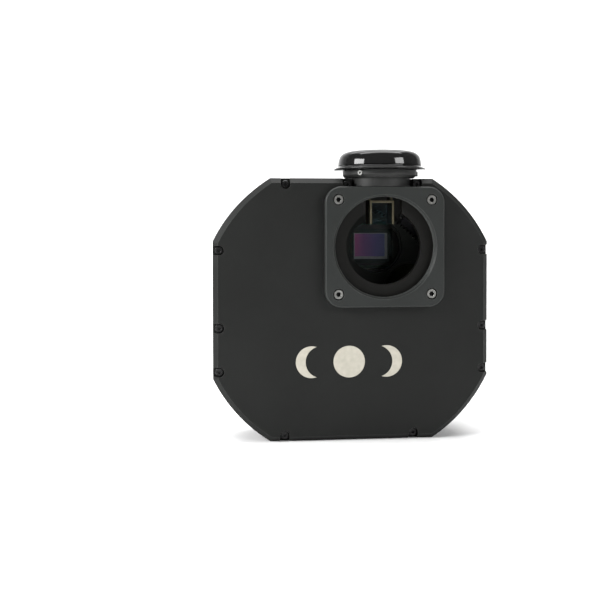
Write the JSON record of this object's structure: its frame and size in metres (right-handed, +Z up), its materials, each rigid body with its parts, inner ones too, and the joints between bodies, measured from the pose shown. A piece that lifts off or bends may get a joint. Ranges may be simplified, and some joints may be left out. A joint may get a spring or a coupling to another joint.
{
  "type": "cooled astronomy camera",
  "caption": "Cooled astronomy camera: rounded octagonal case with an open square-flanged nose, an internal filter wheel and a capped off-axis guide port on top.",
  "frame": {"origin": "on the optical axis, in the front face of the nose plate", "axes": "+X to the right and +Z up as seen from the front, +Y along the light into the camera"},
  "size_m": [0.151, 0.081, 0.1582],
  "materials": {
    "black_anodised_cover": "matt black anodised, fine bead-blasted",
    "black_anodised_plate": "matt black anodised",
    "black_anodised_body": "matt black anodised",
    "black_anodised_inner": "matt black anodised, non-reflecting",
    "screw_steel": "stainless steel",
    "black_screw_steel": "blackened steel",
    "bare_aluminium": "machined",
    "bracket_brass": "machined",
    "bronze": "sintered bronze",
    "cap_vinyl": "glossy black",
    "seal_rubber": "soft black",
    "optical_glass": "coated, clear",
    "red_glass": "red filter",
    "green_glass": "green filter",
    "blue_glass": "blue filter",
    "narrow_band_glass": "mirror-coated narrow-band filter",
    "sensor_ceramic": "dark ceramic",
    "sensor_silicon": "purple coated silicon",
    "circuit_board": "green solder mask",
    "module_ceramic": "white ceramic",
    "copper": "machined copper",
    "motor_steel": "plated steel",
    "blade_steel": "black coated sheet",
    "fan_plastic": "black moulded",
    "socket_plastic": "black moulded",
    "socket_steel": "plated shell",
    "light_lens": "green translucent",
    "plug_brass": "blackened brass"
  },
  "bodies": {
    "camera": {"board_spacers": "screw_steel", "body_screws": "screw_steel", "bracket_screws": "screw_steel", "chamber_screws": "screw_steel", "chamber_seal": "seal_rubber", "chamber_window": "optical_glass", "cold_block": "copper", "cover_gasket": "seal_rubber", "cover_screws": "black_screw_steel", "desiccant_plug": "plug_brass", "fan_frames": "fan_plastic", "front_cover": "black_anodised_cover", "guide_lock_screws": "screw_steel", "guide_port_neck": "black_anodised_body", "heat_sink": "bare_aluminium", "heat_sink_screws": "screw_steel", "index_board": "circuit_board", "line_sockets": "socket_plastic", "main_board": "circuit_board", "neck_screws": "black_screw_steel", "nose_plate": "black_anodised_plate", "nose_plate_screws": "screw_steel", "peltier_module": "module_ceramic", "pickoff_prism": "optical_glass", "power_socket": "socket_plastic", "prism_bracket": "bracket_brass", "rear_body": "black_anodised_body", "rear_cover": "black_anodised_body", "rear_screws": "black_screw_steel", "sensor_board": "circuit_board", "sensor_chamber": "black_anodised_inner", "sensor_cover_glass": "optical_glass", "sensor_die": "sensor_silicon", "sensor_package": "sensor_ceramic", "shutter_motor": "motor_steel", "status_light": "light_lens", "tripod_insert": "screw_steel", "usb_socket": "socket_steel", "wheel_axle": "motor_steel", "wheel_housing": "black_anodised_body", "wheel_motor": "motor_steel", "wheel_screw": "screw_steel", "window_retainer": "black_anodised_inner", "window_seal": "seal_rubber"},
    "filter_wheel": {"filter_wheel": "black_anodised_inner", "wheel_bush": "bronze", "filter_retainers": "black_anodised_inner", "filter_clear": "optical_glass", "filter_red": "red_glass", "filter_green": "green_glass", "filter_blue": "blue_glass", "filters_narrow_band": "narrow_band_glass"},
    "drive_pinion": {"drive_pinion": "bronze", "motor_shaft": "motor_steel"},
    "shutter": {"shutter_blade": "blade_steel", "shutter_hub": "bare_aluminium"},
    "fan_left": {"fan_rotor_left": "fan_plastic"},
    "fan_right": {"fan_rotor_right": "fan_plastic"},
    "dust_cap": {"guide_port_cap": "cap_vinyl"}
  },
  "joints": [
    {"name": "wheel_spin", "type": "hinge", "parent": "camera", "child": "filter_wheel", "pos_m": [-0.02, 0.031, -0.037], "axis": [0, -1, 0], "continuous": true},
    {"name": "pinion_spin", "type": "hinge", "parent": "camera", "child": "drive_pinion", "pos_m": [0.04166, 0.031, -0.00955], "axis": [0, -1, 0], "continuous": true},
    {"name": "shutter_swing", "type": "hinge", "parent": "camera", "child": "shutter", "pos_m": [0.022, 0.0353, -0.03], "axis": [0, -1, 0], "range_deg": [0, 48]},
    {"name": "fan_left_spin", "type": "hinge", "parent": "camera", "child": "fan_left", "pos_m": [-0.0212, 0.0655, -0.036], "axis": [0, 1, 0], "continuous": true},
    {"name": "fan_right_spin", "type": "hinge", "parent": "camera", "child": "fan_right", "pos_m": [0.0218, 0.0655, -0.036], "axis": [0, 1, 0], "continuous": true},
    {"name": "cap_pull", "type": "slide", "parent": "camera", "child": "dust_cap", "axis": [0, 0, 1], "range_m": [0, 0.02]}
  ],
  "couplings": [
    {"joint": "pinion_spin", "follows": "wheel_spin", "ratio": -8}
  ]
}
